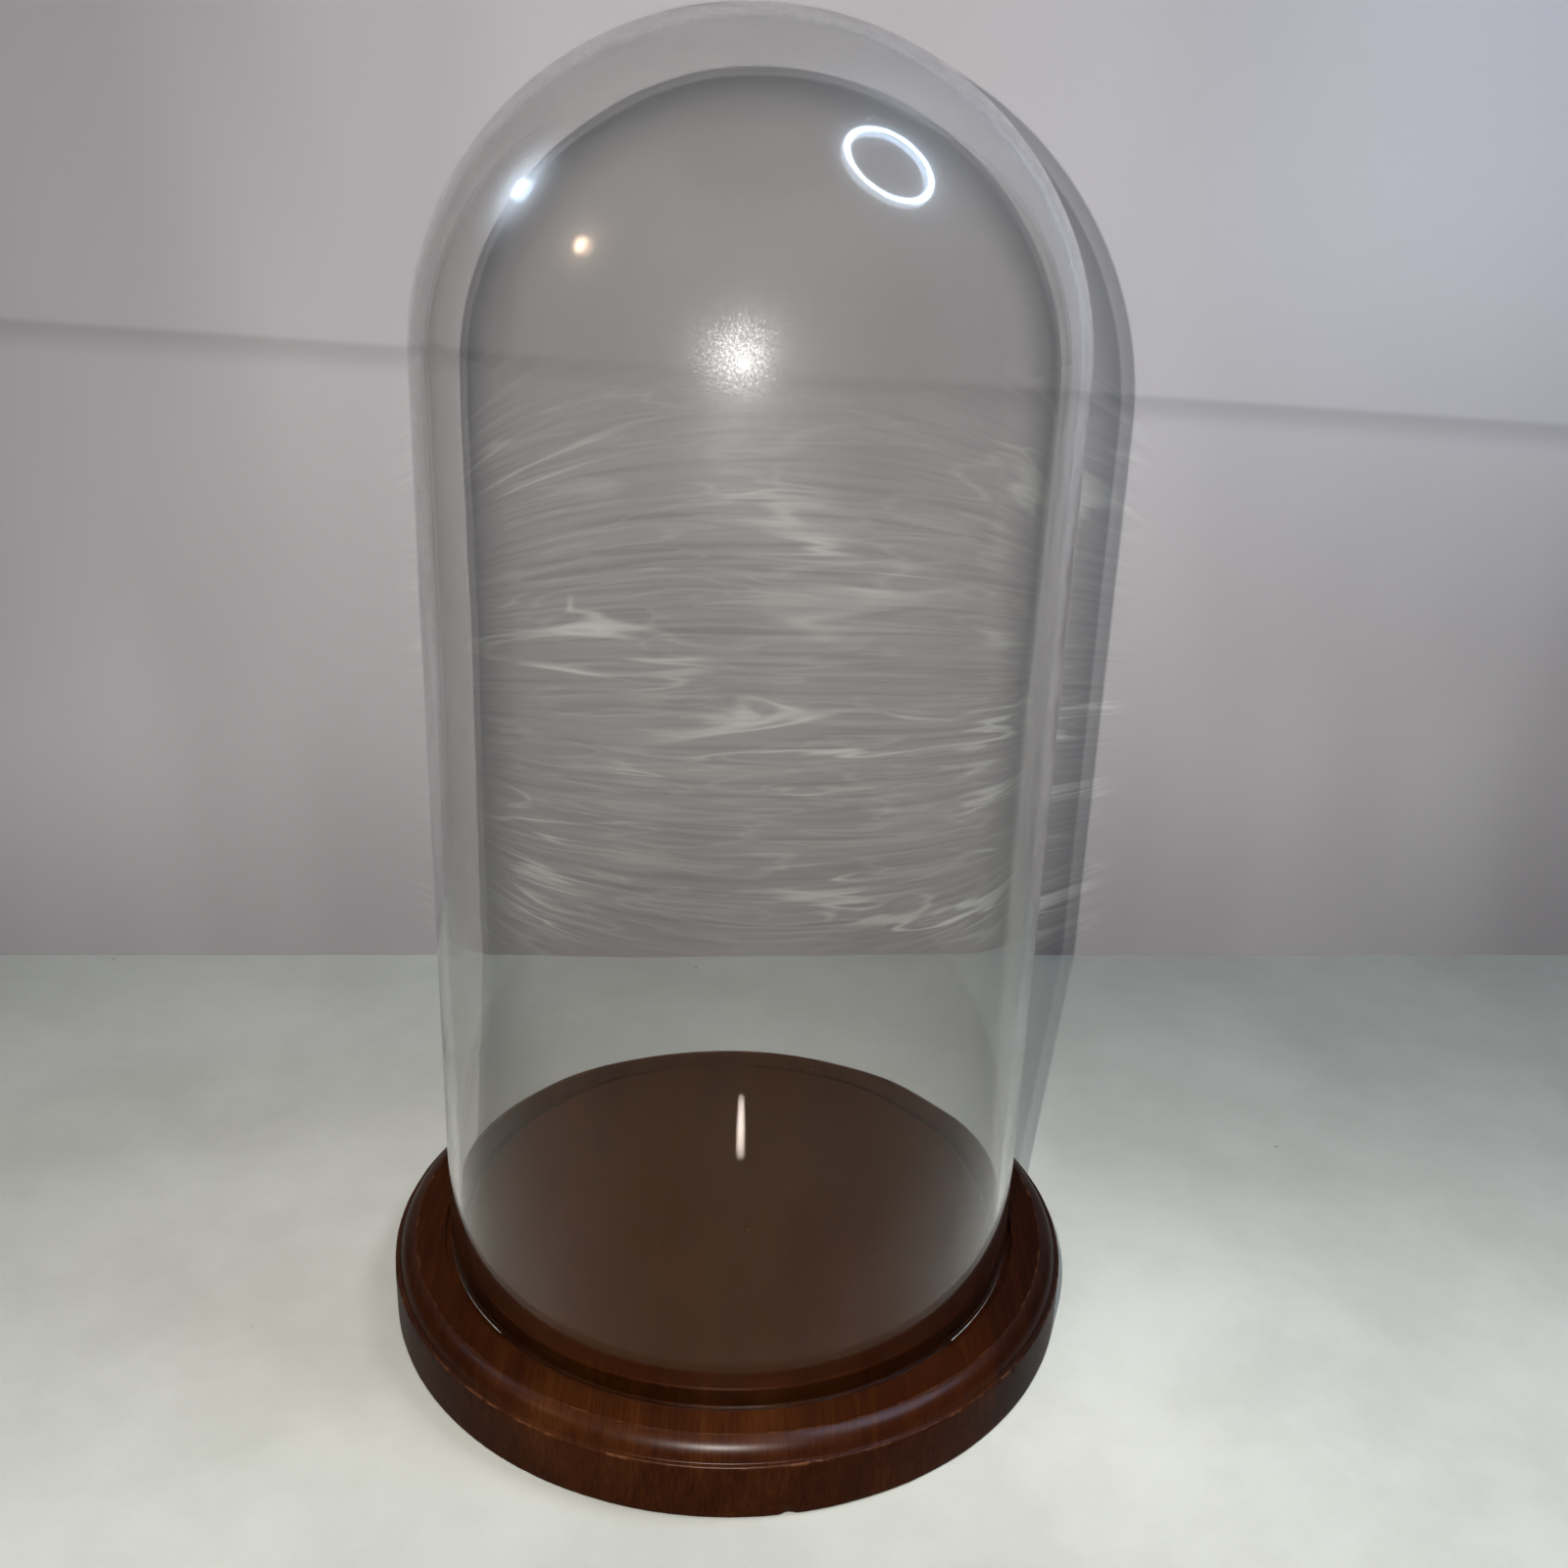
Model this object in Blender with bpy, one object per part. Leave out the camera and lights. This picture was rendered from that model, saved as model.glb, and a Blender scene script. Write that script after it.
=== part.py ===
"""A museum bell jar: a blown glass dome that stands in the groove of a turned hardwood base.

Metres, +Z up. The origin is at the centre of the underside of the felt, where the object rests.
Every piece is turned about the Z axis, so each one is a profile of (radius, height) points.
"""

import math

import bmesh
import bpy

# Fits
REST_GAP = 0.0003  # between pieces that rest on, or are stuck to, each other
GLASS_INNER_CLEARANCE = 0.00115  # from the platform's side to the glass
GLASS_OUTER_CLEARANCE = 0.00145  # from the glass to the groove's outer wall

# Glass dome
DOME_RADIUS = 0.06985
DOME_HEIGHT = 0.2794
DOME_WALL = 0.0025
CROWN_WALL = 0.0025  # wall at the very top
CROWN_HEIGHT = 0.0681  # of the outside, above the straight wall

# Turned base, measured up from the wood's own underside
SIDE_HEIGHT = 0.0135  # the vertical side, up to the shelf
BEAD_RISE = 0.0039  # from the shelf up to the land
BEAD_WIDTH = 0.0042
BEAD_STEP = 0.00025  # the bead's top stands this far above the land
BEAD_BULGE = 0.0008  # how far the bead swells out of the straight slope
SHELF_WIDTH = 0.0007  # flat fillet between the side and the bead
LAND_WIDTH = 0.0067  # flat ring outside the groove
GROOVE_DEPTH = 0.0024  # below the land
PLATFORM_RISE = 0.0020  # platform above the land
SIDE_EDGE = 0.0004  # worn round on the side's top edge
FOOT_BEVEL = 0.0005
LAND_EDGE = 0.0003
PLATFORM_EDGE = 0.0006

# Felt disc, stuck in a shallow recess under the base
BARE_RIM = 0.0082  # ring of bare wood round the recess
FELT_THICKNESS = 0.0012
FELT_PROUD = 0.0005  # the felt reaches this far below the wood
FELT_EDGE = 0.0002

TURN_STEPS = 72  # facets round each piece
CROWN_SEGMENTS = 12  # along the crown's arc
RIM_SEGMENTS = 6
BEAD_SEGMENTS = 6
EDGE_SEGMENTS = 2

# Worked out from the sizes above
DOME_INNER_RADIUS = DOME_RADIUS - DOME_WALL
PLATFORM_RADIUS = DOME_INNER_RADIUS - GLASS_INNER_CLEARANCE
GROOVE_RADIUS = DOME_RADIUS + GLASS_OUTER_CLEARANCE
LAND_RADIUS = GROOVE_RADIUS + LAND_WIDTH
SHELF_RADIUS = LAND_RADIUS + BEAD_STEP + BEAD_WIDTH
BASE_RADIUS = SHELF_RADIUS + SHELF_WIDTH + SIDE_EDGE
RECESS_RADIUS = BASE_RADIUS - BARE_RIM
FELT_RADIUS = RECESS_RADIUS - REST_GAP
RECESS_DEPTH = FELT_THICKNESS + REST_GAP - FELT_PROUD
WOOD_FOOT = FELT_PROUD
SIDE_TOP = WOOD_FOOT + SIDE_HEIGHT
LAND_TOP = SIDE_TOP + BEAD_RISE
GROOVE_FLOOR = LAND_TOP - GROOVE_DEPTH
PLATFORM_TOP = LAND_TOP + PLATFORM_RISE
DOME_FOOT = GROOVE_FLOOR + REST_GAP
SPRING_LINE = DOME_FOOT + DOME_HEIGHT - CROWN_HEIGHT  # where the straight wall ends


def arc(centre, radii, start, end, segments):
    """Points of an ellipse's arc in the (radius, height) plane, angles in degrees from +radius."""
    points = []
    for step in range(segments + 1):
        angle = math.radians(start + (end - start) * step / segments)
        points.append((centre[0] + radii[0] * math.cos(angle),
                       centre[1] + radii[1] * math.sin(angle)))
    return points


def bulged(start, end, bulge, segments):
    """A shallow curve from start to end that swells to the left of its path by bulge."""
    along = (end[0] - start[0], end[1] - start[1])
    chord = math.hypot(*along)
    outward = (-along[1] / chord, along[0] / chord)
    points = []
    for step in range(segments + 1):
        share = step / segments
        swell = bulge * 4 * share * (1 - share)
        points.append((start[0] + along[0] * share + outward[0] * swell,
                       start[1] + along[1] * share + outward[1] * swell))
    return points


def material(name, colour, roughness, transmission=0.0):
    made = bpy.data.materials.new(name)
    made.use_nodes = True
    shader = made.node_tree.nodes["Principled BSDF"]
    shader.inputs["Base Color"].default_value = (*colour, 1.0)
    shader.inputs["Roughness"].default_value = roughness
    shader.inputs["Metallic"].default_value = 0.0
    shader.inputs["Transmission Weight"].default_value = transmission
    made.diffuse_color = (*colour, 1.0 - 0.65 * transmission)
    return made


def turned(name, profile, finish):
    """Spins a profile, which starts and ends on the axis, into one closed object about Z."""
    mesh = bpy.data.meshes.new(name)
    outline = bmesh.new()
    points = [outline.verts.new((radius, 0.0, height)) for radius, height in profile]
    for first, second in zip(points, points[1:]):
        outline.edges.new((first, second))
    outline.to_mesh(mesh)
    outline.free()
    piece = bpy.data.objects.new(name, mesh)
    bpy.context.scene.collection.objects.link(piece)
    mesh.materials.append(finish)
    screw = piece.modifiers.new("turn", "SCREW")
    screw.axis = "Z"
    screw.steps = TURN_STEPS
    screw.render_steps = TURN_STEPS
    screw.use_merge_vertices = True
    screw.merge_threshold = 0.00001
    screw.use_smooth_shade = True
    return piece


def make_dome():
    """A straight tube closed by a domed crown, with a fire-polished round rim at its foot."""
    outside = arc((0.0, SPRING_LINE), (DOME_RADIUS, CROWN_HEIGHT), 90, 0, CROWN_SEGMENTS)
    rim_radius = DOME_WALL / 2
    rim_centre = (DOME_RADIUS - rim_radius, DOME_FOOT + rim_radius)
    rim = arc(rim_centre, (rim_radius, rim_radius), 0, -180, RIM_SEGMENTS)
    inner_crown = CROWN_HEIGHT - CROWN_WALL
    inside = arc((0.0, SPRING_LINE), (DOME_INNER_RADIUS, inner_crown), 0, 90, CROWN_SEGMENTS)
    outside[0] = (0.0, SPRING_LINE + CROWN_HEIGHT)
    inside[-1] = (0.0, SPRING_LINE + inner_crown)
    glass = material("clear_glass", (0.93, 0.96, 0.95), 0.02, transmission=1.0)
    return turned("glass_dome", outside + rim + inside, glass)


def make_base():
    """The platform, the groove, the land, the bead, the side and the recess for the felt."""
    platform = [(0.0, PLATFORM_TOP)]
    platform += arc((PLATFORM_RADIUS - PLATFORM_EDGE, PLATFORM_TOP - PLATFORM_EDGE),
                    (PLATFORM_EDGE, PLATFORM_EDGE), 90, 0, EDGE_SEGMENTS)
    groove = [(PLATFORM_RADIUS, GROOVE_FLOOR), (GROOVE_RADIUS, GROOVE_FLOOR)]
    groove += arc((GROOVE_RADIUS + LAND_EDGE, LAND_TOP - LAND_EDGE),
                  (LAND_EDGE, LAND_EDGE), 180, 90, EDGE_SEGMENTS)
    bead = [(LAND_RADIUS, LAND_TOP)]
    bead += bulged((LAND_RADIUS + BEAD_STEP, LAND_TOP + BEAD_STEP), (SHELF_RADIUS, SIDE_TOP),
                   BEAD_BULGE, BEAD_SEGMENTS)
    side = arc((BASE_RADIUS - SIDE_EDGE, SIDE_TOP - SIDE_EDGE),
               (SIDE_EDGE, SIDE_EDGE), 90, 0, EDGE_SEGMENTS)
    side += [(BASE_RADIUS, WOOD_FOOT + FOOT_BEVEL), (BASE_RADIUS - FOOT_BEVEL, WOOD_FOOT)]
    recess = [(RECESS_RADIUS, WOOD_FOOT), (RECESS_RADIUS, WOOD_FOOT + RECESS_DEPTH),
              (0.0, WOOD_FOOT + RECESS_DEPTH)]
    wood = material("stained_hardwood", (0.10, 0.035, 0.018), 0.38)
    return turned("turned_base", platform + groove + bead + side + recess, wood)


def make_felt():
    """A disc of felt whose lower edge is slightly rounded."""
    outline = [(0.0, FELT_THICKNESS), (FELT_RADIUS, FELT_THICKNESS), (FELT_RADIUS, FELT_EDGE),
               (FELT_RADIUS - FELT_EDGE, 0.0), (0.0, 0.0)]
    felt = material("dark_felt", (0.03, 0.045, 0.035), 0.95)
    return turned("felt_disc", outline, felt)


for old in list(bpy.data.objects):
    bpy.data.objects.remove(old, do_unlink=True)

make_dome()
make_base()
make_felt()
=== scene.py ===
# %% [markdown]
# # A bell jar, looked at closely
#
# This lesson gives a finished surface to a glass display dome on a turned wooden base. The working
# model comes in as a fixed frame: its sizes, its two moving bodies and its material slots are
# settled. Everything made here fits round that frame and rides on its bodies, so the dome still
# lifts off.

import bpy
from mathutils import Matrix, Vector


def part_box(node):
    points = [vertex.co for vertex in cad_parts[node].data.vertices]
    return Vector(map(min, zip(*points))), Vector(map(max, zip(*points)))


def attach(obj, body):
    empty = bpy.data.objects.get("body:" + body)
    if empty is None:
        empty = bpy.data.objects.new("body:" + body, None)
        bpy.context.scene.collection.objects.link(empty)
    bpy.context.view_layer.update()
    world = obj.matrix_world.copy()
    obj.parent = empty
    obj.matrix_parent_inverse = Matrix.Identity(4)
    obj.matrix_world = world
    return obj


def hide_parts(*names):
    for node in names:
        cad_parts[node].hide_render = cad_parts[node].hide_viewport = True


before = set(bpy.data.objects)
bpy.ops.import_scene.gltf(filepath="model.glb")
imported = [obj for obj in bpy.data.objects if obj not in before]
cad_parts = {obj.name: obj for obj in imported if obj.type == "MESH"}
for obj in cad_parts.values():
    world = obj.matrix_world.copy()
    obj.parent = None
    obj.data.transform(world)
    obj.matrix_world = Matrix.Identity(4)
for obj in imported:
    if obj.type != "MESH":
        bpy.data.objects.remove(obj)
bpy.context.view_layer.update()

# %% Modules
import math

import bpy
from mathutils import Matrix, Vector, noise

mm = 0.001

# %% [markdown]
# # Sizes read back from the frame
#
# A maker measures the rough part before finishing it. The boxes of the three pieces give the
# glass's radius, foot and top, the wood's radius, foot and platform, and the felt's radius. What a
# box can't show, such as the wall of the glass and the steps of the base, is a named size here.
# They are sizes a turner would put on a drawing.

# %% The glass
glass_low, glass_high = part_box("glass_dome")
glass_radius = glass_high.x
glass_foot = glass_low.z
glass_top = glass_high.z
wall = 2.5 * mm
crown_height = 68.1 * mm
spring_line = glass_top - crown_height
bore_radius = glass_radius - wall
print(f"glass {glass_radius * 2000:.1f} mm across, {(glass_top - glass_foot) * 1000:.1f} mm tall")

# %% The base
wood_low, wood_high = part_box("turned_base")
base_radius = wood_high.x
wood_foot = wood_low.z
platform_top = wood_high.z
land_top = platform_top - 2.0 * mm
groove_floor = glass_foot - 0.3 * mm
side_top = wood_foot + 13.5 * mm
platform_radius = bore_radius - 1.15 * mm
groove_radius = glass_radius + 1.45 * mm
land_radius = groove_radius + 6.7 * mm
side_edge = 0.4 * mm
shelf_radius = base_radius - side_edge - 0.7 * mm
recess_radius = base_radius - 8.2 * mm
recess_roof = wood_foot + 1.0 * mm
print(f"base {base_radius * 2000:.1f} mm across, land {(land_top - wood_foot) * 1000:.1f} mm up")

# %% The felt
felt_low, felt_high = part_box("felt_disc")
felt_radius = felt_high.x
felt_bottom, felt_top = felt_low.z, felt_high.z
print(f"felt {felt_radius * 2000:.1f} mm across, {(felt_top - felt_bottom) * 1000:.1f} mm thick")

# %% [markdown]
# # The camera
#
# The dome is seen from close by and a little above, so its sides lean in towards the foot. The
# camera stands as high as the upper part of the glass, tilts down by a little less than a quarter
# of a right angle, and leans slightly, as a hand-held one does. It is built from its three turns,
# so each can be changed by itself.

# %% Camera
camera_place = Vector((0.0, -337.4 * mm, 264.3 * mm))
camera_turn = math.radians(1.665)
camera_tilt = math.radians(21.095)
camera_lean = math.radians(2.06)

view_way = Vector((math.sin(camera_turn) * math.cos(camera_tilt),
                   math.cos(camera_turn) * math.cos(camera_tilt),
                   -math.sin(camera_tilt)))
level_right = Vector((math.cos(camera_turn), -math.sin(camera_turn), 0.0))
level_up = level_right.cross(view_way)
camera_right = level_right * math.cos(camera_lean) + level_up * math.sin(camera_lean)
camera_up = level_up * math.cos(camera_lean) - level_right * math.sin(camera_lean)

lens = bpy.data.cameras.new("camera")
lens.lens = 36.21
lens.sensor_width = 36.0
lens.clip_start = 0.01
camera = bpy.data.objects.new("camera", lens)
bpy.context.scene.collection.objects.link(camera)
turned_to = Matrix((camera_right, camera_up, -view_way)).transposed()
camera.matrix_world = Matrix.Translation(camera_place) @ turned_to.to_4x4()
bpy.context.scene.camera = camera
look = bpy.context.scene.view_settings
look.view_transform = "Standard"
look.gamma = 0.84
look.exposure = 0.32
print("camera", tuple(round(value, 3) for value in camera_place))

# %% [markdown]
# # Writing shader maths as Python
#
# A finish is built from nodes, and wiring them one by one hides the idea. A small class wraps an
# output socket, and Python's own operators add the Math nodes. Any other node comes from one
# method, which takes the node's type, its settings and its inputs. Colours and vectors have their
# own Mix and Vector Math nodes, because a Math node would turn a colour grey.


# %% Class Wire
class Wire:
    """An output socket that + - * / work on. Without a socket it is the start of a material."""

    def __init__(self, tree, socket=None):
        self.tree = tree
        self.socket = socket

    def node(self, kind, settings=None, inputs=None, output=0):
        """Adds a node, its settings first and then the values or wires of its inputs."""
        made = self.tree.nodes.new(kind)
        for name, value in (settings or {}).items():
            if name == "stops":
                fill_ramp(made.color_ramp, value)
            else:
                setattr(made, name, value)
        for key, value in (inputs or {}).items():
            self.feed(made.inputs[key], value)
        return Wire(self.tree, made.outputs[output])

    def feed(self, target, value):
        if isinstance(value, Wire):
            self.tree.links.new(value.socket, target)
        else:
            target.default_value = value

    def maths(self, operation, *values):
        return self.node("ShaderNodeMath", {"operation": operation}, dict(enumerate(values)))

    def __add__(self, other):
        return self.maths("ADD", self, other)

    def __radd__(self, other):
        return self.maths("ADD", other, self)

    def __sub__(self, other):
        return self.maths("SUBTRACT", self, other)

    def __rsub__(self, other):
        return self.maths("SUBTRACT", other, self)

    def __mul__(self, other):
        return self.maths("MULTIPLY", self, other)

    def __rmul__(self, other):
        return self.maths("MULTIPLY", other, self)

    def __truediv__(self, other):
        return self.maths("DIVIDE", self, other)

    def __gt__(self, other):
        return self.maths("GREATER_THAN", self, other)

    def root(self):
        return self.maths("SQRT", self)

    def size(self):
        return self.maths("ABSOLUTE", self)

    def exponent(self):
        return self.maths("EXPONENT", self)

    def rise(self, start, end):
        """0 below start, 1 above end, and a smooth slope between."""
        inputs = {"Value": self, "From Min": start, "From Max": end}
        return self.node("ShaderNodeMapRange", {"interpolation_type": "SMOOTHSTEP"}, inputs)


# %% Colour helpers
def fill_ramp(ramp, stops):
    """Gives a colour ramp its stops, each a place and a colour."""
    while len(ramp.elements) < len(stops):
        ramp.elements.new(0.5)
    for element, (place, colour) in zip(ramp.elements, stops):
        element.position = place
        element.color = (*colour, 1.0)


def blend(share, first, second):
    """The colour first where share is 0 and second where it is 1."""
    ends = [(*colour, 1.0) if isinstance(colour, tuple) else colour for colour in (first, second)]
    inputs = {0: share, 6: ends[0], 7: ends[1]}
    return share.node("ShaderNodeMix", {"data_type": "RGBA"}, inputs, output=2)


# %% Starting a material
def new_finish(name):
    """An empty material, as its output node and a Wire to build on."""
    made = bpy.data.materials.new(name)
    made.use_nodes = True
    made.node_tree.nodes.clear()
    output = made.node_tree.nodes.new("ShaderNodeOutputMaterial")
    return made, Wire(made.node_tree), output.inputs["Surface"]


def place_in(start):
    """The point on the piece, in metres from the piece's own origin."""
    return start.node("ShaderNodeTexCoord", output="Object")


def parts_of(point):
    """The X, Y and Z of a point."""
    return [point.node("ShaderNodeSeparateXYZ", inputs={0: point}, output=axis) for axis in "XYZ"]


def grain_noise(point, stretch, detail=2.0, roughness=0.5, distortion=0.0):
    """Noise whose size along X, Y and Z is set by stretch, in features per metre."""
    mapped = point.node("ShaderNodeMapping", inputs={"Vector": point, "Scale": stretch})
    inputs = {"Vector": mapped, "Scale": 1.0, "Detail": detail, "Roughness": roughness,
              "Distortion": distortion}
    return point.node("ShaderNodeTexNoise", inputs=inputs)


print("helpers ready")

# %% [markdown]
# # Turning an outline
#
# Every piece of this object is round about the same axis, so one function makes them all: it
# takes an outline of radius and height and carries it round the axis. A Screw modifier could do
# that too. Here a function is used, because it can also move each point a little as it goes round,
# and real glass and real wood are never perfectly round.


# %% Function turn
def turn(name, outline, steps, moved=None):
    """A closed mesh from an outline that starts and ends on the axis. moved may shift any point."""
    corners, rings = [], []
    for radius, height in outline:
        if radius == 0.0:
            rings.append([len(corners)])
            corners.append((0.0, 0.0, height))
            continue
        rings.append(list(range(len(corners), len(corners) + steps)))
        for step in range(steps):
            angle = math.tau * step / steps
            r, z = moved(radius, height, angle) if moved else (radius, height)
            corners.append((r * math.cos(angle), r * math.sin(angle), z))
    faces = []
    for upper, lower in zip(rings, rings[1:]):
        for step in range(steps):
            following = (step + 1) % steps
            if len(upper) == 1:
                faces.append((upper[0], lower[step], lower[following]))
            elif len(lower) == 1:
                faces.append((upper[step], lower[0], upper[following]))
            else:
                faces.append((upper[step], lower[step], lower[following], upper[following]))
    mesh = bpy.data.meshes.new(name)
    mesh.from_pydata(corners, [], faces)
    mesh.shade_smooth()
    piece = bpy.data.objects.new(name, mesh)
    bpy.context.scene.collection.objects.link(piece)
    print(f"{name}: {len(corners)} points, {len(faces)} faces")
    return piece


# %% Runs and arcs of an outline
def run(start, end, spacing, tight=0.12 * mm):
    """Points along a straight stretch, with one close to each end so that its shading stays flat."""
    length = math.dist(start, end)
    places = {0.0, 1.0}
    if length > 3 * tight:
        places |= {tight / length, 1 - tight / length}
    count = max(1, round(length / spacing))
    places |= {step / count for step in range(1, count)}
    return [(start[0] + (end[0] - start[0]) * share, start[1] + (end[1] - start[1]) * share)
            for share in sorted(places)]


def arc(centre, radii, start, end, segments):
    """Points of an ellipse's arc, angles in degrees from outward."""
    angles = [math.radians(start + (end - start) * step / segments) for step in range(segments + 1)]
    return [(centre[0] + radii[0] * math.cos(angle), centre[1] + radii[1] * math.sin(angle))
            for angle in angles]


def joined(*stretches):
    """One outline from several stretches, without the points that two of them share."""
    outline = []
    for stretch in stretches:
        for point in stretch:
            if not outline or math.dist(point, outline[-1]) > 0.02 * mm:
                outline.append(point)
    return outline


print("a 3 mm run has", len(run((0, 0), (3 * mm, 0), 1 * mm)), "points")

# %% [markdown]
# # The turned base
#
# The base is one disc of stained hardwood. From the middle outwards it has the raised platform,
# the groove that the glass stands in, a flat land, a bead that swells over the edge, a small shelf
# and the upright side. A recess underneath takes the felt. Each corner is a small arc: sanding and
# stain leave none sharp, and those arcs are what catch the thin lines of light round the edge.

# %% Outline of the wood
edge = 0.35 * mm
platform_edge = 0.6 * mm
bead_step = 0.25 * mm
bead_start = (land_radius + bead_step, land_top + bead_step)
bead_end = (shelf_radius, side_top)
bead_bulge = 0.8 * mm


def bead_curve(segments):
    """The bead: a shallow swell between its top corner and the shelf."""
    along = Vector(bead_end) - Vector(bead_start)
    outward = Vector((-along.y, along.x)).normalized()
    points = []
    for step in range(segments + 1):
        share = step / segments
        point = Vector(bead_start) + along * share + outward * bead_bulge * 4 * share * (1 - share)
        points.append((point.x, point.y))
    return points


def wood_outline():
    platform = run((0.0, platform_top), (platform_radius - platform_edge, platform_top), 3.0 * mm)
    platform_lip = arc((platform_radius - platform_edge, platform_top - platform_edge),
                       (platform_edge, platform_edge), 90, 0, 6)
    fillet = 0.3 * mm
    groove = joined(
        run(platform_lip[-1], (platform_radius, groove_floor + fillet), 1.2 * mm),
        arc((platform_radius + fillet, groove_floor + fillet), (fillet, fillet), 180, 270, 4),
        run((platform_radius + fillet, groove_floor), (groove_radius - fillet, groove_floor), mm),
        arc((groove_radius - fillet, groove_floor + fillet), (fillet, fillet), -90, 0, 4),
        run((groove_radius, groove_floor + fillet), (groove_radius, land_top - edge), 0.8 * mm),
        arc((groove_radius + edge, land_top - edge), (edge, edge), 180, 90, 5))
    land = run((groove_radius + edge, land_top), (land_radius - 0.1 * mm, land_top), 1.0 * mm)
    crease = [(land_radius + 0.06 * mm, land_top + 0.05 * mm),
              (bead_start[0] - 0.08 * mm, bead_start[1] - 0.05 * mm)]
    shelf = run((shelf_radius + 0.12 * mm, side_top), (base_radius - side_edge, side_top), mm)
    side_lip = arc((base_radius - side_edge, side_top - side_edge), (side_edge, side_edge), 90, 0, 6)
    bevel = 0.5 * mm
    side = run(side_lip[-1], (base_radius, wood_foot + bevel), 1.0 * mm)
    foot = arc((base_radius - bevel, wood_foot + bevel), (bevel, bevel), 0, -90, 4)
    under = joined(run(foot[-1], (recess_radius, wood_foot), 2.0 * mm),
                   run((recess_radius, wood_foot), (recess_radius, recess_roof), 0.6 * mm),
                   run((recess_radius, recess_roof), (0.0, recess_roof), 12 * mm))
    return joined(platform, platform_lip, groove, land, crease, bead_curve(18), shelf, side_lip,
                  side, foot, under)


print("the wood's outline has", len(wood_outline()), "points")

# %% [markdown]
# # Knocks and wear
#
# A base that has been handled has soft places along its two outer corners and a few small chips.
# They could be painted on, but light only catches a dent that is really there, so the turning
# function moves the points. Slow noise round the rim eases the corners by a few hundredths of a
# millimetre, and each chip is a small round dent at an angle and a height.

# %% Chips and easing
mid_side = wood_foot + 8 * mm
# Each chip: degrees round from the right-hand side, height, width and depth.
chips = [(-77.0, side_top - 0.2 * mm, 1.7 * mm, 0.42 * mm),
         (-64.5, side_top - 0.1 * mm, 1.1 * mm, 0.22 * mm),
         (-80.5, wood_foot + 0.3 * mm, 2.2 * mm, 0.50 * mm),
         (-127.0, side_top - 0.1 * mm, 1.2 * mm, 0.20 * mm),
         (-39.0, side_top - 0.2 * mm, 1.5 * mm, 0.32 * mm),
         (38.0, side_top - 0.2 * mm, 1.8 * mm, 0.40 * mm),
         (142.0, wood_foot + 0.3 * mm, 2.0 * mm, 0.45 * mm),
         (103.0, side_top - 0.1 * mm, 1.3 * mm, 0.25 * mm)]


def round_noise(angle, height, turns, rise, seed):
    """Smooth noise from -1 to 1 that meets itself after a full turn."""
    return noise.noise(Vector((math.cos(angle) * turns, math.sin(angle) * turns, height * rise + seed)))


def nearness(point, corner, reach):
    """1 at a corner, falling to 0 at its reach."""
    return max(0.0, 1 - math.dist(point, corner) / reach)


def eased_wood(radius, height, angle):
    """Moves a point of the wood where its corners are worn or chipped."""
    side_corner = nearness((radius, height), (base_radius, side_top), 0.9 * mm)
    foot_corner = nearness((radius, height), (base_radius, wood_foot), 1.2 * mm)
    bead_corner = nearness((radius, height), bead_start, 0.5 * mm)
    rubbed = 0.5 + round_noise(angle, 0.0, 9.0, 0.0, 4.0)
    fine = 0.5 + round_noise(angle, 0.0, 60.0, 0.0, 9.0)
    ease = (side_corner + foot_corner + 0.6 * bead_corner) * (0.07 * rubbed + 0.05 * fine) * mm
    for chip_angle, chip_height, width, depth in chips:
        across = math.remainder(angle - math.radians(chip_angle), math.tau) * base_radius
        reach = math.hypot(across, 0.9 * (height - chip_height), 0.9 * (radius - base_radius))
        if reach < width:
            ease += depth * (1 - (reach / width) ** 2) ** 2
    drop = ease * 0.5 if height > mid_side else -ease * 0.3
    return radius - ease, height - drop


# %% Make the wood
wood = turn("turned_wood", wood_outline(), 600, eased_wood)
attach(wood, "base")
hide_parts("turned_base")

# %% [markdown]
# # Stained hardwood under satin lacquer
#
# The wood is dark red-brown: a stain that lies darker in the open pores, and a thin satin lacquer
# over it. The grain runs from front to back, so on the flat parts it makes long faint streaks,
# and where the bead and the side cut across it at the front it shows as short upright ticks. One
# solid block of stretched noise gives both, because it is read by the point's place in the wood.
# The blank was glued up from boards, so the tone changes at a joint near each side. The wood is also
# painted darker towards the right: painted shade on the side away from the main lamp. The
# platform's streaks are half as strong as the rest.

# %% Wood: grain and stain
wood_finish, start, wood_surface = new_finish("stained_hardwood")
point = place_in(start)
x, y, z = parts_of(point)
radius_here = (x * x + y * y).root()

joint_right, joint_left = 60.5 * mm, -47.0 * mm
right_board = x.rise(joint_right, joint_right + 0.3 * mm)
left_board = x.rise(joint_left - 0.3 * mm, joint_left)
board_place = {0: x, 1: y + right_board * 0.31, 2: z - left_board * 0.17}
shifted = start.node("ShaderNodeCombineXYZ", inputs=board_place)

broad = grain_noise(shifted, (150, 9, 60), detail=3, distortion=0.6)
streak = grain_noise(shifted, (900, 22, 160), detail=3, roughness=0.6, distortion=0.3)
fine = grain_noise(shifted, (2600, 90, 420), detail=2, roughness=0.6)
cloud = grain_noise(shifted, (45, 30, 45), detail=2)

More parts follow.
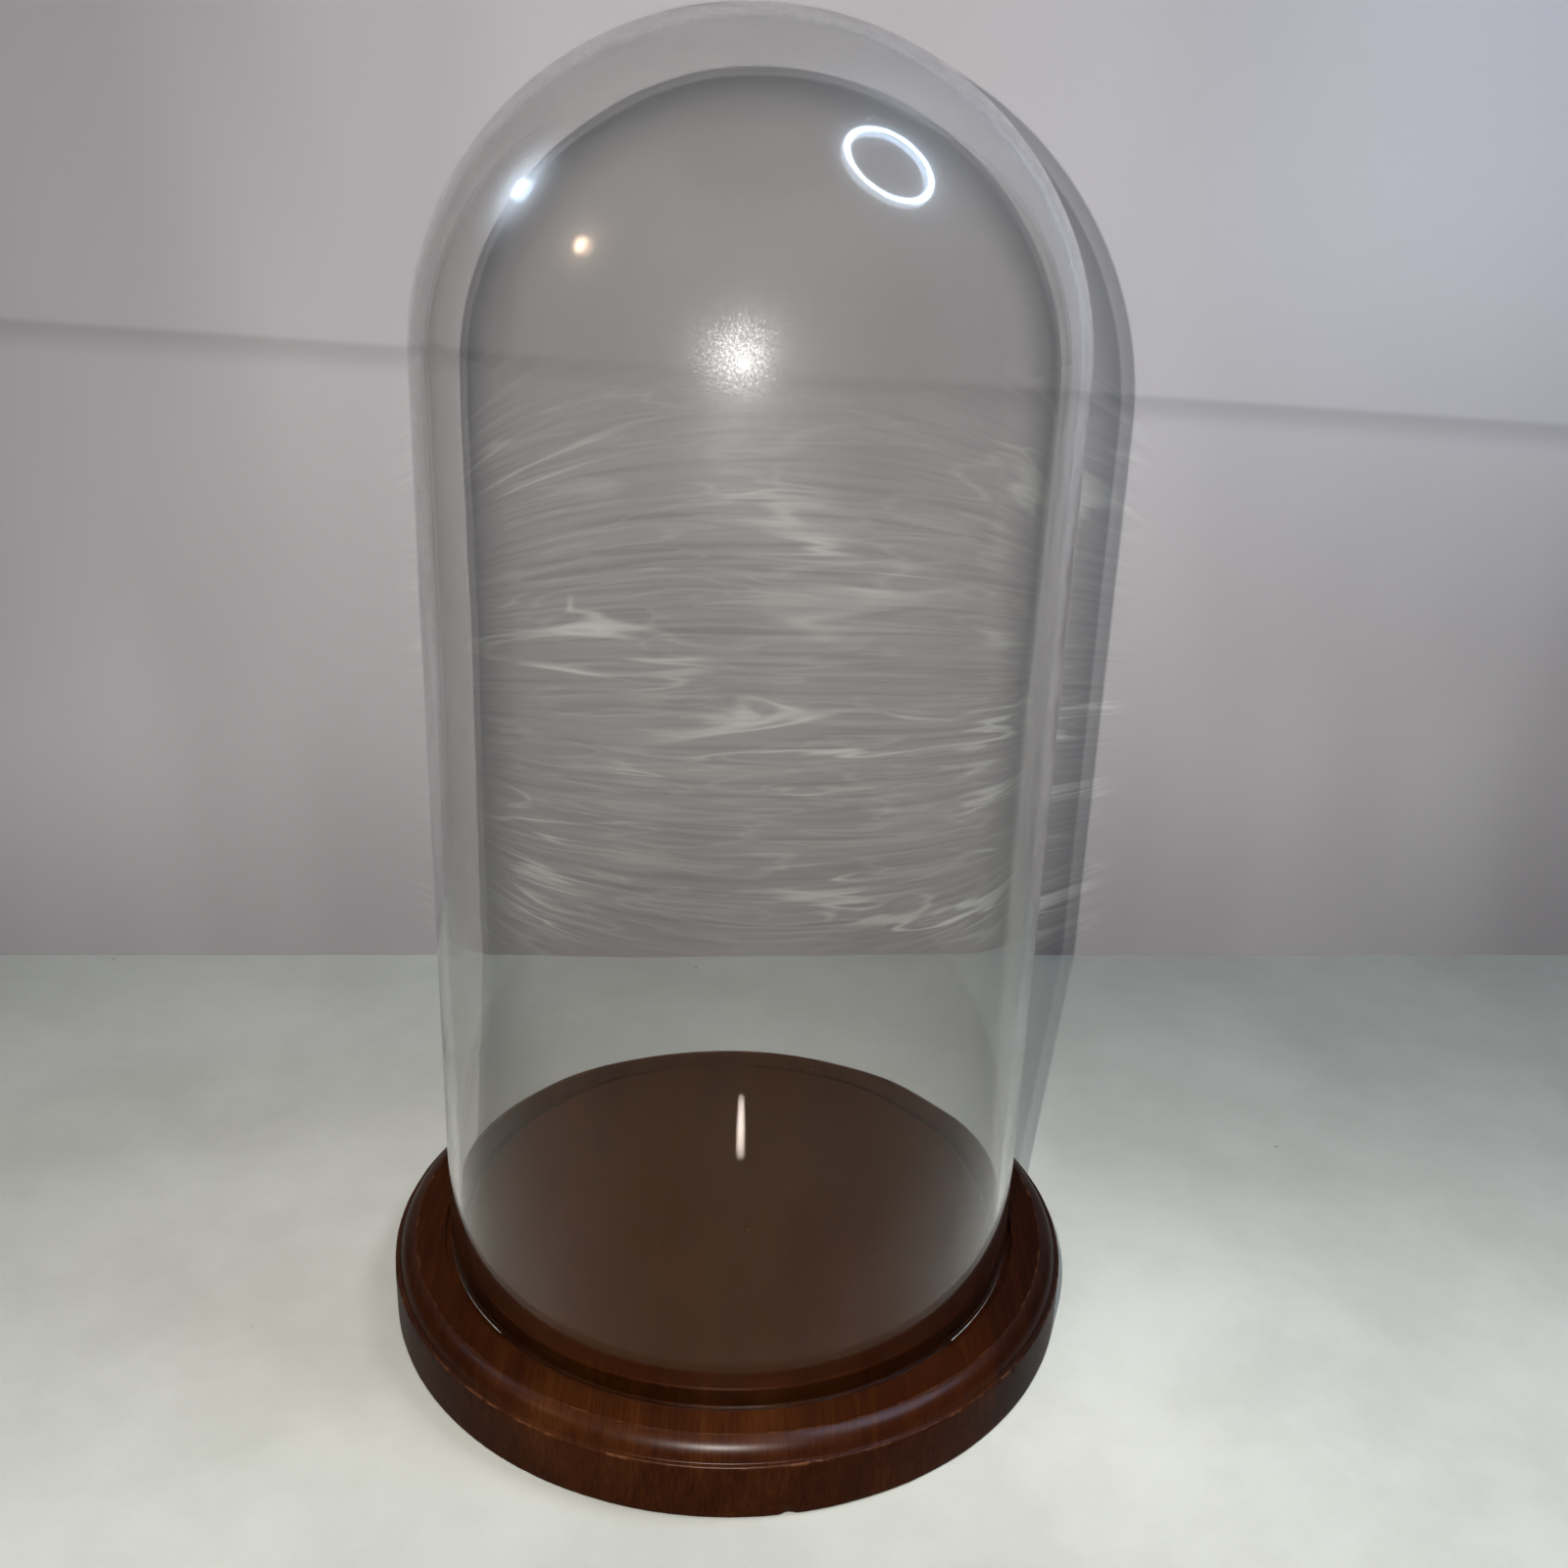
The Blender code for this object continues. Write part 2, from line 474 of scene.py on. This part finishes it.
on_platform = 1 - radius_here.rise(platform_radius - 1.5 * mm, platform_radius)
tone = broad * 0.26 + streak * 0.28 + fine * 0.38 + cloud * 0.24
tone = 0.58 + (tone - 0.58) * (1 - on_platform * 0.5)
# Painted shade: the last term darkens the wood towards the right, away from the main lamp.
tone = tone - right_board * 0.075 + left_board * 0.035 - x.rise(-5 * mm, 75 * mm) * 0.13
stain = start.node("ShaderNodeValToRGB", {"stops": [(0.36, (0.016, 0.0028, 0.0005)),
                                                    (0.54, (0.036, 0.0080, 0.0010)),
                                                    (0.70, (0.060, 0.0175, 0.0026)),
                                                    (0.86, (0.105, 0.0400, 0.0090))]}, {0: tone})

# %% Wood: pores and rubbed corners
pores = grain_noise(shifted, (4200, 190, 900), detail=1, roughness=0.4)
pore_mask = pores.rise(0.62, 0.74)
stain = blend(pore_mask * 0.55, stain, (0.012, 0.0030, 0.0014))

surface_way = start.node("ShaderNodeNewGeometry", output="Normal")
facing = start.node("ShaderNodeSeparateXYZ", inputs={0: surface_way}, output="Z")
flat_top = facing.rise(0.90, 0.985)
near_side_corner = 1 - (z - (side_top - 0.25 * mm)).size().rise(0.0, 0.5 * mm)
near_outside = radius_here.rise(base_radius - 0.55 * mm, base_radius - 0.25 * mm)
patchy = grain_noise(point, (260, 260, 260), detail=3).rise(0.46, 0.66)
rubbed = near_side_corner * near_outside * patchy
stain = blend(rubbed * 0.35, stain, (0.26, 0.115, 0.055))
bead_corner = 1 - (radius_here - (land_radius + 0.2 * mm)).size().rise(0.0, 0.4 * mm)
stain = blend(bead_corner * patchy * 0.30, stain, (0.26, 0.115, 0.055))

# %% Wood: dust on the flat tops
speck_cells = {"Vector": point, "Scale": 210.0}
specks = start.node("ShaderNodeTexVoronoi", {"feature": "F1"}, speck_cells)
speck_pick = start.node("ShaderNodeTexVoronoi", {"feature": "F1"}, speck_cells, output="Color")
chosen = start.node("ShaderNodeSeparateColor", inputs={0: speck_pick}) > 0.80
speck = (1 - specks.rise(0.028, 0.060)) * chosen * flat_top
stain = blend(speck * 0.8, stain, (0.42, 0.33, 0.24))

# %% Wood: turning marks and the lacquer
rings = start.node("ShaderNodeCombineXYZ", inputs={0: radius_here * 2300.0, 1: 0.0, 2: 0.0})
turning = start.node("ShaderNodeTexNoise", inputs={"Vector": rings, "Scale": 1.0, "Detail": 3.0})
height_map = turning * on_platform * 0.5 + turning * 0.2 - pore_mask * 0.35
height_map = height_map + fine * (0.30 - on_platform * 0.22)
bumps = {"Height": height_map, "Strength": 0.22, "Distance": 0.12 * mm}
relief = start.node("ShaderNodeBump", inputs=bumps)

smears = grain_noise(point, (70, 70, 70), detail=3, roughness=0.65)
satin = 0.33 + 0.12 * smears + 0.10 * pore_mask + 0.2 * speck
bead = radius_here.rise(land_radius, land_radius + 0.4 * mm) * facing.rise(0.2, 0.4)
lacquer = {"Base Color": stain, "Roughness": satin, "IOR": 1.46, "Specular IOR Level": 0.05,
           "Coat Weight": 0.015 + 0.04 * smears + 0.30 * bead, "Coat Roughness": 0.33,
           "Normal": relief}
wood_shader = start.node("ShaderNodeBsdfPrincipled", inputs=lacquer)
start.feed(wood_surface, wood_shader)
wood.data.materials.append(wood_finish)
print("stained_hardwood has", len(wood_finish.node_tree.nodes), "nodes")

# %% [markdown]
# # The blown glass
#
# The dome is a tube of glass with one end closed by blowing, and its foot is melted round over a
# flame. Hot glass never comes out even: the bore and the outside each carry their own faint
# ripples, mostly level ones, from the turning of the iron. The two skins are made as one closed
# outline, and each is moved by its own noise, so the wall varies and bends what is seen through it.

# %% Outline of the glass
rim = wall / 2
calm_foot = 12 * mm
calm_top = 14 * mm
nick_height = 1.6 * mm


def glass_outline():
    crown = arc((0.0, spring_line), (glass_radius, crown_height), 90, 0, 44)
    crown[0] = (0.0, glass_top)
    straight = run((glass_radius, spring_line), (glass_radius, glass_foot + rim), 2.4 * mm)
    foot = arc((glass_radius - rim, glass_foot + rim), (rim, rim), 0, -180, 12)
    bore = run((bore_radius, glass_foot + rim), (bore_radius, spring_line), 2.4 * mm)
    inner_crown = arc((0.0, spring_line), (bore_radius, crown_height - wall), 0, 90, 44)
    inner_crown[-1] = (0.0, glass_top - wall)
    return joined(crown, straight, foot, bore, inner_crown)


def rippled_glass(radius, height, angle):
    """Moves a point of the glass by the ripple of its own skin, which dies away at foot and top."""
    middle = glass_radius - rim
    scale = math.hypot(radius / middle, max(0.0, height - spring_line) / (crown_height - rim))
    seed = 3.0 if scale > 1 else 41.0
    calm = min(1.0, (height - glass_foot) / calm_foot) * min(1.0, radius / calm_top)
    ripple = 0.014 * round_noise(angle, height, 1.6, 95.0, seed)
    ripple += 0.060 * round_noise(angle, height, 1.2, 14.0, seed + 7)
    ripple += 0.005 * round_noise(angle, height, 3.5, 210.0, seed + 15)
    nick = 0.10 * max(0.0, round_noise(angle, 0.0, 16.0, 0.0, 60.0) - 0.25)
    at_foot = max(0.0, 1 - (height - glass_foot) / nick_height)
    return radius + ripple * calm * mm, height + nick * at_foot * mm


# %% Make the glass
glass = turn("blown_glass", glass_outline(), 224, rippled_glass)
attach(glass, "dome")
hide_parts("glass_dome")

# %% [markdown]
# # Clear glass with a dusty film
#
# Clean glass bends light and mirrors a little of it, more so at a glancing angle. The Principled
# shader does both from one index. A faint grey dims what is seen through it, and a dull tint
# weakens the mirror image that is seen head-on. The film of dust and fingers on an old dome is a
# speckled coat with a rougher gloss. A renderer's lamps can't see through bending glass, so their
# rays, and the soft ones that bounce about, pass straight through a tinted opening instead. Where
# a lamp's ray only grazes the glass the opening is darker, which gives the shadow its dark rim.
#
# At both sides, and not at the front or back, the very foot of the glass has a painted highlight: a
# pale, rough line that stands for the light caught in its rounded rim.

# %% The painted highlight at the foot
foot_highlight_finish, start, foot_surface = new_finish("painted_foot_highlight")
point = place_in(start)
foot_grain = grain_noise(point, (700, 700, 1800), detail=3, roughness=0.7).rise(0.35, 0.65)
foot_highlight_colour = blend(foot_grain, (0.20, 0.19, 0.18), (0.46, 0.46, 0.44))
foot_highlight_glass = {"Base Color": foot_highlight_colour, "Roughness": 0.45, "IOR": 1.5}
start.feed(foot_surface, start.node("ShaderNodeBsdfPrincipled", inputs=foot_highlight_glass))

# %% Glass finish
glass_finish, start, glass_surface = new_finish("clear_glass")
point = place_in(start)
grease = grain_noise(point, (28, 28, 20), detail=3, roughness=0.6).rise(0.40, 0.72)
grit = grain_noise(point, (2600, 2600, 2600), detail=2, roughness=0.7).rise(0.50, 0.66)
film = 0.02 + 0.08 * grease + 0.30 * grit * (0.35 + grease)

clear = {"Base Color": (0.905, 0.902, 0.893, 1.0), "Roughness": 0.0, "IOR": 1.5,
         "Specular Tint": (0.42, 0.35, 0.27, 1.0), "Transmission Weight": 1.0,
         "Coat Weight": film, "Coat Roughness": 0.34, "Coat IOR": 1.5}
body_glass = start.node("ShaderNodeBsdfPrincipled", inputs=clear)
opening = start.node("ShaderNodeBsdfTransparent", inputs={"Color": (0.898, 0.893, 0.885, 1.0)})
edge_shade = start.node("ShaderNodeBsdfTransparent", inputs={"Color": (0.55, 0.55, 0.555, 1.0)})
lamp_ray = start.node("ShaderNodeLightPath", output="Is Shadow Ray")
soft_ray = start.node("ShaderNodeLightPath", output="Is Diffuse Ray")
soft_side = start.node("ShaderNodeMixShader", inputs={0: soft_ray, 1: body_glass, 2: opening})
turned_away = start.node("ShaderNodeLayerWeight", inputs={"Blend": 0.5}, output="Facing")
edge_on = turned_away.rise(0.35, 0.95) * lamp_ray
lamp_side = start.node("ShaderNodeMixShader", inputs={0: edge_on, 1: opening, 2: edge_shade})
both_sides = start.node("ShaderNodeMixShader", inputs={0: lamp_ray, 1: soft_side, 2: lamp_side})
start.feed(glass_surface, both_sides)
glass.data.materials.append(glass_finish)
glass.data.materials.append(foot_highlight_finish)
# Painted highlight: only faces low on the foot, at the left and right sides, take the pale finish.
highlight_height = glass_foot + 0.45 * mm
highlight_sideways = 0.72 * glass_radius
highlight_back = 0.35 * glass_radius
for face in glass.data.polygons:
    side_on = abs(face.center.x) > highlight_sideways and face.center.y < highlight_back
    face.material_index = int(side_on and face.center.z < highlight_height)
print("clear_glass has", len(glass_finish.node_tree.nodes), "nodes")

# %% [markdown]
# # The felt underneath
#
# A disc of pressed felt is stuck in the recess and stands half a millimetre proud of the wood, so
# the base doesn't scratch a table. Felt has no weave: it is matted wool, soft at its cut edge. The
# disc is turned like the rest, and noise roughens its faces and its edge by a tenth of a
# millimetre, always inwards, so that it stays in its recess.

# %% Make the felt
fuzz = 0.12 * mm


def felt_outline():
    soft = 0.35 * mm
    return joined(run((0.0, felt_top), (felt_radius, felt_top), 2.5 * mm),
                  run((felt_radius, felt_top), (felt_radius, felt_bottom + soft), 0.4 * mm),
                  arc((felt_radius - soft, felt_bottom + soft), (soft, soft), 0, -90, 4),
                  run((felt_radius - soft, felt_bottom), (0.0, felt_bottom), 1.5 * mm))


def matted(radius, height, angle):
    """Roughens the felt inwards."""
    spot = Vector((radius * math.cos(angle), radius * math.sin(angle), height)) * 700
    rough = 0.5 + 0.5 * noise.noise(spot) + 0.25 * noise.noise(spot * 3.1)
    inward = fuzz * min(1.0, max(0.0, rough))
    towards_middle = 1 if height < (felt_bottom + felt_top) / 2 else -1
    return radius - inward * (radius > felt_radius - mm), height + inward * towards_middle


felt = turn("felt_facing", felt_outline(), 360, matted)
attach(felt, "base")
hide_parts("felt_disc")

# %% [markdown]
# # Pressed wool
#
# Felt drinks light, and only its loose fibres glint a little at the edges. Three sizes of noise
# make the matting: clumps, tangled fibres and single hairs. The fibres are noise that is strongly
# bent by its own distortion. A sheen stands for the fuzz.

# %% Felt finish
felt_finish, start, felt_surface = new_finish("dark_felt")
point = place_in(start)
clumps = grain_noise(point, (240, 240, 240), detail=3)
tangle = grain_noise(point, (900, 2600, 1500), detail=3, roughness=0.7, distortion=2.5)
hairs = grain_noise(point, (3400, 800, 1500), detail=3, roughness=0.7, distortion=3.0)
wool = start.node("ShaderNodeValToRGB", {"stops": [(0.30, (0.012, 0.020, 0.014)),
                                                   (0.52, (0.030, 0.046, 0.035)),
                                                   (0.75, (0.075, 0.100, 0.080))]},
                  {0: clumps * 0.35 + tangle * 0.35 + hairs * 0.30})
tufts = {"Height": tangle + hairs, "Strength": 0.5, "Distance": 0.2 * mm}
nap = start.node("ShaderNodeBump", inputs=tufts)
fibres = {"Base Color": wool, "Roughness": 0.92, "Sheen Weight": 0.5, "Sheen Roughness": 0.5,
          "Sheen Tint": (0.5, 0.6, 0.5, 1.0), "Specular IOR Level": 0.2, "Normal": nap}
start.feed(felt_surface, start.node("ShaderNodeBsdfPrincipled", inputs=fibres))
felt.data.materials.append(felt_finish)
print("dark_felt has", len(felt_finish.node_tree.nodes), "nodes")

# %% [markdown]
# # A pale table and a hanging cloth
#
# Glass shows what is round it, so a dome needs a set to be seen in. It stands on a plain pale
# table, with a grey cloth hung close behind it. Seen from behind the cloth, or from under the
# table, each is see-through, so that other views of the object aren't blocked. The table also has
# a hole, hidden under the felt.
#
# Light that a blown dome gathers falls on the cloth as wavy bright lines. They are painted here,
# from noise that is stretched along the cloth, with painted shade between them. The fold line and
# the darker foot are painted shade, and the lighter, bluer top right is painted light from the
# ring lamp.


# %% A surface from a grid of points
def spread(name, columns, rows, place):
    """A sheet of faces whose points come from place(across, up), both from 0 to 1."""
    corners = [place(i / columns, j / rows) for j in range(rows + 1) for i in range(columns + 1)]
    wide = columns + 1
    faces = [(j * wide + i, j * wide + i + 1, (j + 1) * wide + i + 1, (j + 1) * wide + i)
             for j in range(rows) for i in range(columns)]
    mesh = bpy.data.meshes.new(name)
    mesh.from_pydata(corners, [], faces)
    mesh.shade_smooth()
    made = bpy.data.objects.new(name, mesh)
    bpy.context.scene.collection.objects.link(made)
    return made


# %% The table
hole_radius = 74 * mm
table_spread = 95


def table_point(across, up):
    """Rings that widen by the same share each. The innermost, under the felt, bounds the hole."""
    angle = -math.tau * across
    radius = hole_radius * table_spread ** up
    return radius * math.cos(angle), radius * math.sin(angle), 0.0


table = spread("table", 96, 24, table_point)
table_finish, start, table_surface = new_finish("pale_table")
point = place_in(start)
x, y = parts_of(point)[:2]
mottle = grain_noise(point, (14, 14, 14), detail=5, roughness=0.65).rise(0.3, 0.7)
table_colour = blend(mottle, (0.545, 0.540, 0.495), (0.625, 0.620, 0.575))
# Painted shade: the table darkens towards the cloth, more at the back right, and in front of the base,
# where the main lamp would light it too brightly.
back_right_shade = x.rise(20 * mm, 120 * mm) * y.rise(-30 * mm, 70 * mm)
front_middle_shade = (0.0 - y).rise(50 * mm, 110 * mm) * (1 - x.size().rise(40 * mm, 160 * mm))
painted_shade = y.rise(20 * mm, 160 * mm) * 0.17 + back_right_shade * 0.24 + front_middle_shade * 0.27
table_colour = blend(painted_shade, table_colour, (0.05, 0.05, 0.05))
crumbs = start.node("ShaderNodeTexVoronoi", {"feature": "F1"}, {"Vector": point, "Scale": 90.0})
crumb_pick = grain_noise(point, (40, 40, 40), detail=1).rise(0.60, 0.66)
crumb = (1 - crumbs.rise(0.030, 0.075)) * crumb_pick
table_colour = blend(crumb * 0.6, table_colour, (0.10, 0.08, 0.06))
matt = {"Base Color": table_colour, "Roughness": 0.62, "Specular IOR Level": 0.3}
table_top = start.node("ShaderNodeBsdfPrincipled", inputs=matt)
clear_back = start.node("ShaderNodeBsdfTransparent")
from_below = start.node("ShaderNodeNewGeometry", output="Backfacing")
one_sided = {0: from_below, 1: table_top, 2: clear_back}
start.feed(table_surface, start.node("ShaderNodeMixShader", inputs=one_sided))
table.data.materials.append(table_finish)

# %% The cloth
cloth_behind = 174 * mm
cloth_left, cloth_right, cloth_high = -0.27, 0.34, 0.81
cloth_slant = 0.049


def cloth_point(across, up):
    x = cloth_left + (cloth_right - cloth_left) * across
    folds = 5 * mm * noise.noise(Vector((x * 9, up * 1.5, 2.0))) * min(1.0, up * 3)
    return x, cloth_behind + cloth_slant * x + folds, cloth_high * up


cloth = spread("cloth", 160, 24, cloth_point)
cloth_finish, start, cloth_surface = new_finish("grey_cloth")
point = place_in(start)
x, y, z = parts_of(point)
drape = grain_noise(point, (9, 9, 3), detail=2)
cloth_colour = blend(drape.rise(0.3, 0.7), (0.445, 0.420, 0.430), (0.525, 0.500, 0.512))
# Painted light: the cloth is lighter and bluer high on the right, where the ring lamp falls.
painted_light_high_right = z.rise(100 * mm, 280 * mm) * x.rise(40 * mm, 240 * mm)
cloth_colour = blend(painted_light_high_right, cloth_colour, (0.64, 0.64, 0.70))
# Painted shade: the cloth is darker at its foot, where it meets the table.
cloth_colour = blend((1 - z.rise(0.0, 95 * mm)) * 0.17, cloth_colour, (0.05, 0.045, 0.045))

# %% The fold line and the light the glass throws
fold_height = 206.5 * mm
fold_slope = 0.04
above_fold = z + fold_slope * x - fold_height
fold_shade = above_fold.rise(-10 * mm, -1 * mm) * (1 - above_fold.rise(-1 * mm, 1.5 * mm))
fold_shade = fold_shade * (0.3 + 0.7 * x.size().rise(40 * mm, 120 * mm))
cloth_colour = blend(fold_shade * 0.20, cloth_colour, (0.06, 0.06, 0.065))

pattern_middle = 12 * mm
pattern_reach = 118 * mm
pattern_height = 100 * mm
off_side = (x - pattern_middle) / pattern_reach
bowed = (z - pattern_height) / (1.10 - 0.30 * off_side * off_side)
thrown = start.node("ShaderNodeCombineXYZ", inputs={0: off_side, 1: bowed * 1000.0, 2: 0.0})
wave = grain_noise(thrown, (1.0, 0.060, 1.0), detail=2, roughness=0.5, distortion=1.1)
second_wave = grain_noise(thrown, (1.5, 0.12, 1.0), detail=2, roughness=0.5, distortion=0.9)
crest = 1 - ((wave - 0.5).size() * 22.0).rise(0.0, 1.0)
second_crest = 1 - ((second_wave - 0.53).size() * 20.0).rise(0.0, 1.0)
patches = grain_noise(thrown, (1.6, 0.030, 1.0), detail=2).rise(0.42, 0.66)
fine_streaks = grain_noise(thrown, (1.3, 0.42, 1.0), detail=3, roughness=0.6)
lit_middle = 10 * mm
lit_inner, lit_outer = 94 * mm, 128 * mm
inside = (1 - (x - lit_middle).size().rise(lit_inner, lit_outer)) * z.rise(-5 * mm, 15 * mm)
inside = inside * (1 - z.rise(150 * mm, 225 * mm))
lines = crest * patches * 0.60 + second_crest * 0.13
streaks = (lines + fine_streaks.rise(0.35, 0.75) * 0.10) * inside
cloth_colour = blend(streaks, cloth_colour, (0.95, 0.94, 0.90))
# Painted shade: between the painted bright lines the cloth is darkened a little.
between = (1 - fine_streaks.rise(0.30, 0.52)) * inside * 0.13
cloth_colour = blend(between, cloth_colour, (0.08, 0.08, 0.085))
woven = start.node("ShaderNodeBsdfPrincipled",
                   inputs={"Base Color": cloth_colour, "Roughness": 0.9, "Specular IOR Level": 0.1})
clear_back = start.node("ShaderNodeBsdfTransparent")
from_behind = start.node("ShaderNodeNewGeometry", output="Backfacing")
one_sided = {0: from_behind, 1: woven, 2: clear_back}
start.feed(cloth_surface, start.node("ShaderNodeMixShader", inputs=one_sided))
cloth.data.materials.append(cloth_finish)
print("cloth from", cloth_left, "to", cloth_right, "m across and", cloth_high, "m high")

# %% [markdown]
# # Lamps
#
# The main lamp is small and close to the camera, a little up and to its left, so the dome's shadow
# falls just right of it on the cloth. A ring lamp hangs high on the right, and the glass mirrors
# it as a tilted ring. A third lamp, low down, only lights the underside. What the glass mirrors
# are glowing shapes that light nothing: one for the main lamp, one for the ring and two for small
# lights of the room, each with a faint halo from the dusty film.


# %% Lamp helpers
def aim(thing, place, target):
    """Puts a thing at place with its back to target, as lamps point along their own -Z."""
    thing.location = place
    thing.rotation_mode = "QUATERNION"
    thing.rotation_quaternion = (Vector(place) - Vector(target)).to_track_quat("Z", "Y")


def add_lamp(name, place, target, size, watts, colour):
    """A round lamp that lights the set. Where the glass should mirror it, a glow stands for it."""
    light = bpy.data.lights.new(name, "AREA")
    light.shape = "DISK"
    light.size = size
    light.energy = watts
    light.color = colour
    light.cycles.use_multiple_importance_sampling = False
    lamp = bpy.data.objects.new(name, light)
    bpy.context.scene.collection.objects.link(lamp)
    aim(lamp, place, target)
    return lamp


def add_glow(name, place, target, colour, strength, core, halo, halo_share, ring=0.0):
    """A disc that glows in its middle or along a ring, and fades through a halo."""
    steps = 48
    outer = ring + 2.2 * halo
    angles = [math.tau * step / steps for step in range(steps)]
    corners = [(outer * math.cos(angle), outer * math.sin(angle), 0.0) for angle in angles]
    mesh = bpy.data.meshes.new(name)
    mesh.from_pydata(corners, [], [tuple(range(steps))])
    made = bpy.data.objects.new(name, mesh)
    bpy.context.scene.collection.objects.link(made)
    finish, start, surface = new_finish(name)
    point = place_in(start)
    x, y = parts_of(point)[:2]
    off = (x * x + y * y).root() - ring
    grain = grain_noise(point, (260, 260, 260), detail=3, roughness=0.7).rise(0.4, 0.68)
    bright = (0.0 - off * off / (core * core)).exponent()
    soft = (0.0 - off * off / (halo * halo)).exponent() * halo_share * (0.45 + grain * 1.1)
    glow = start.node("ShaderNodeEmission", inputs={0: (*colour, 1.0), 1: (bright + soft) * strength})
    nothing = start.node("ShaderNodeBsdfTransparent")
    start.feed(surface, start.node("ShaderNodeAddShader", inputs={0: glow, 1: nothing}))
    mesh.materials.append(finish)
    aim(made, place, target)
    made.visible_camera = False
    made.visible_diffuse = False
    made.visible_shadow = False
    return made


# %% The lamps
dome_middle = Vector((0.0, 0.0, 0.15))
dome_crown = Vector((0.022, -0.052, 0.267))
key_place = camera_place - camera_right * 10.8 * mm + camera_up * 28 * mm + view_way * 39 * mm
add_lamp("key", key_place, dome_middle, 1.5 * mm, 1.37, (1.0, 0.985, 0.955))
key_mirrored = camera_place - camera_right * 12 * mm + camera_up * 7 * mm
key_hit = Vector((-0.001, -0.069, 0.235))
key_glow = add_glow("key_glow", key_mirrored, key_hit, (0.85, 1.0, 1.25), 40.0, 8.5 * mm, 46 * mm,
                    0.10)
key_glow.visible_transmission = False  # or it would be a bright patch behind the glass

ring_place = Vector((0.553, -0.102, 1.113))
ring_fill = add_lamp("ring_fill", ring_place, dome_middle, 0.46, 5.2, (0.80, 0.91, 1.0))
ring_fill.visible_glossy = False
add_glow("ring_glow", ring_place, dome_crown, (0.72, 0.98, 1.35), 66.0, 12 * mm, 60 * mm, 0.040,
         ring=203 * mm)

left_place = Vector((-0.396, 0.081, 0.508))
left_hit = Vector((-0.041, -0.045, 0.261))
add_glow("left_glow", left_place, left_hit, (0.80, 1.0, 1.28), 55.0, 13 * mm, 62 * mm, 0.10)

warm_place = Vector((-0.60, -0.295, 0.67))
warm_hit = Vector((-0.029, -0.058, 0.252))
add_glow("warm_glow", warm_place, warm_hit, (1.0, 0.86, 0.76), 55.0, 24 * mm, 90 * mm, 0.06)

under_place = Vector((0.25, -0.25, -0.6))
add_lamp("under", under_place, Vector((0.0, 0.0, 0.0)), 0.3, 3.0, (1.0, 0.98, 0.95))

# The back of the dome gathers the main lamp's light into a thin bright spot on the platform. A
# narrow lamp just behind the glass stands for that.
focus_place = Vector((2.4, 82, 57)) * mm
focus_spot = Vector((2.4, 35, 19.9)) * mm
focus = add_lamp("focus", focus_place, focus_spot, 0.8 * mm, 0.00060, (1.0, 0.97, 0.92))
focus.data.shape = "ELLIPSE"
focus.data.size_y = 19 * mm
focus.data.spread = math.radians(2.4)

# %% The room
world = bpy.data.worlds.new("room")
bpy.context.scene.world = world
world.use_nodes = True
world.node_tree.nodes.clear()
start = Wire(world.node_tree)
way = start.node("ShaderNodeTexCoord", output="Generated")
up_share = start.node("ShaderNodeSeparateXYZ", inputs={0: way}, output="Z").rise(-0.1, 0.9)
mirrored_room = blend(up_share, (0.030, 0.028, 0.026), (0.085, 0.085, 0.09))
lit_room = blend(up_share, (0.055, 0.055, 0.057), (0.12, 0.12, 0.125))
glossy_ray = start.node("ShaderNodeLightPath", output="Is Glossy Ray")
bent_ray = start.node("ShaderNodeLightPath", output="Is Transmission Ray")
mirror_ray = glossy_ray * (1 - bent_ray)
seen_room = blend(mirror_ray, lit_room, mirrored_room)
background = start.node("ShaderNodeBackground", inputs={"Color": seen_room, "Strength": 1.0})
output = world.node_tree.nodes.new("ShaderNodeOutputWorld")
start.feed(output.inputs["Surface"], background)
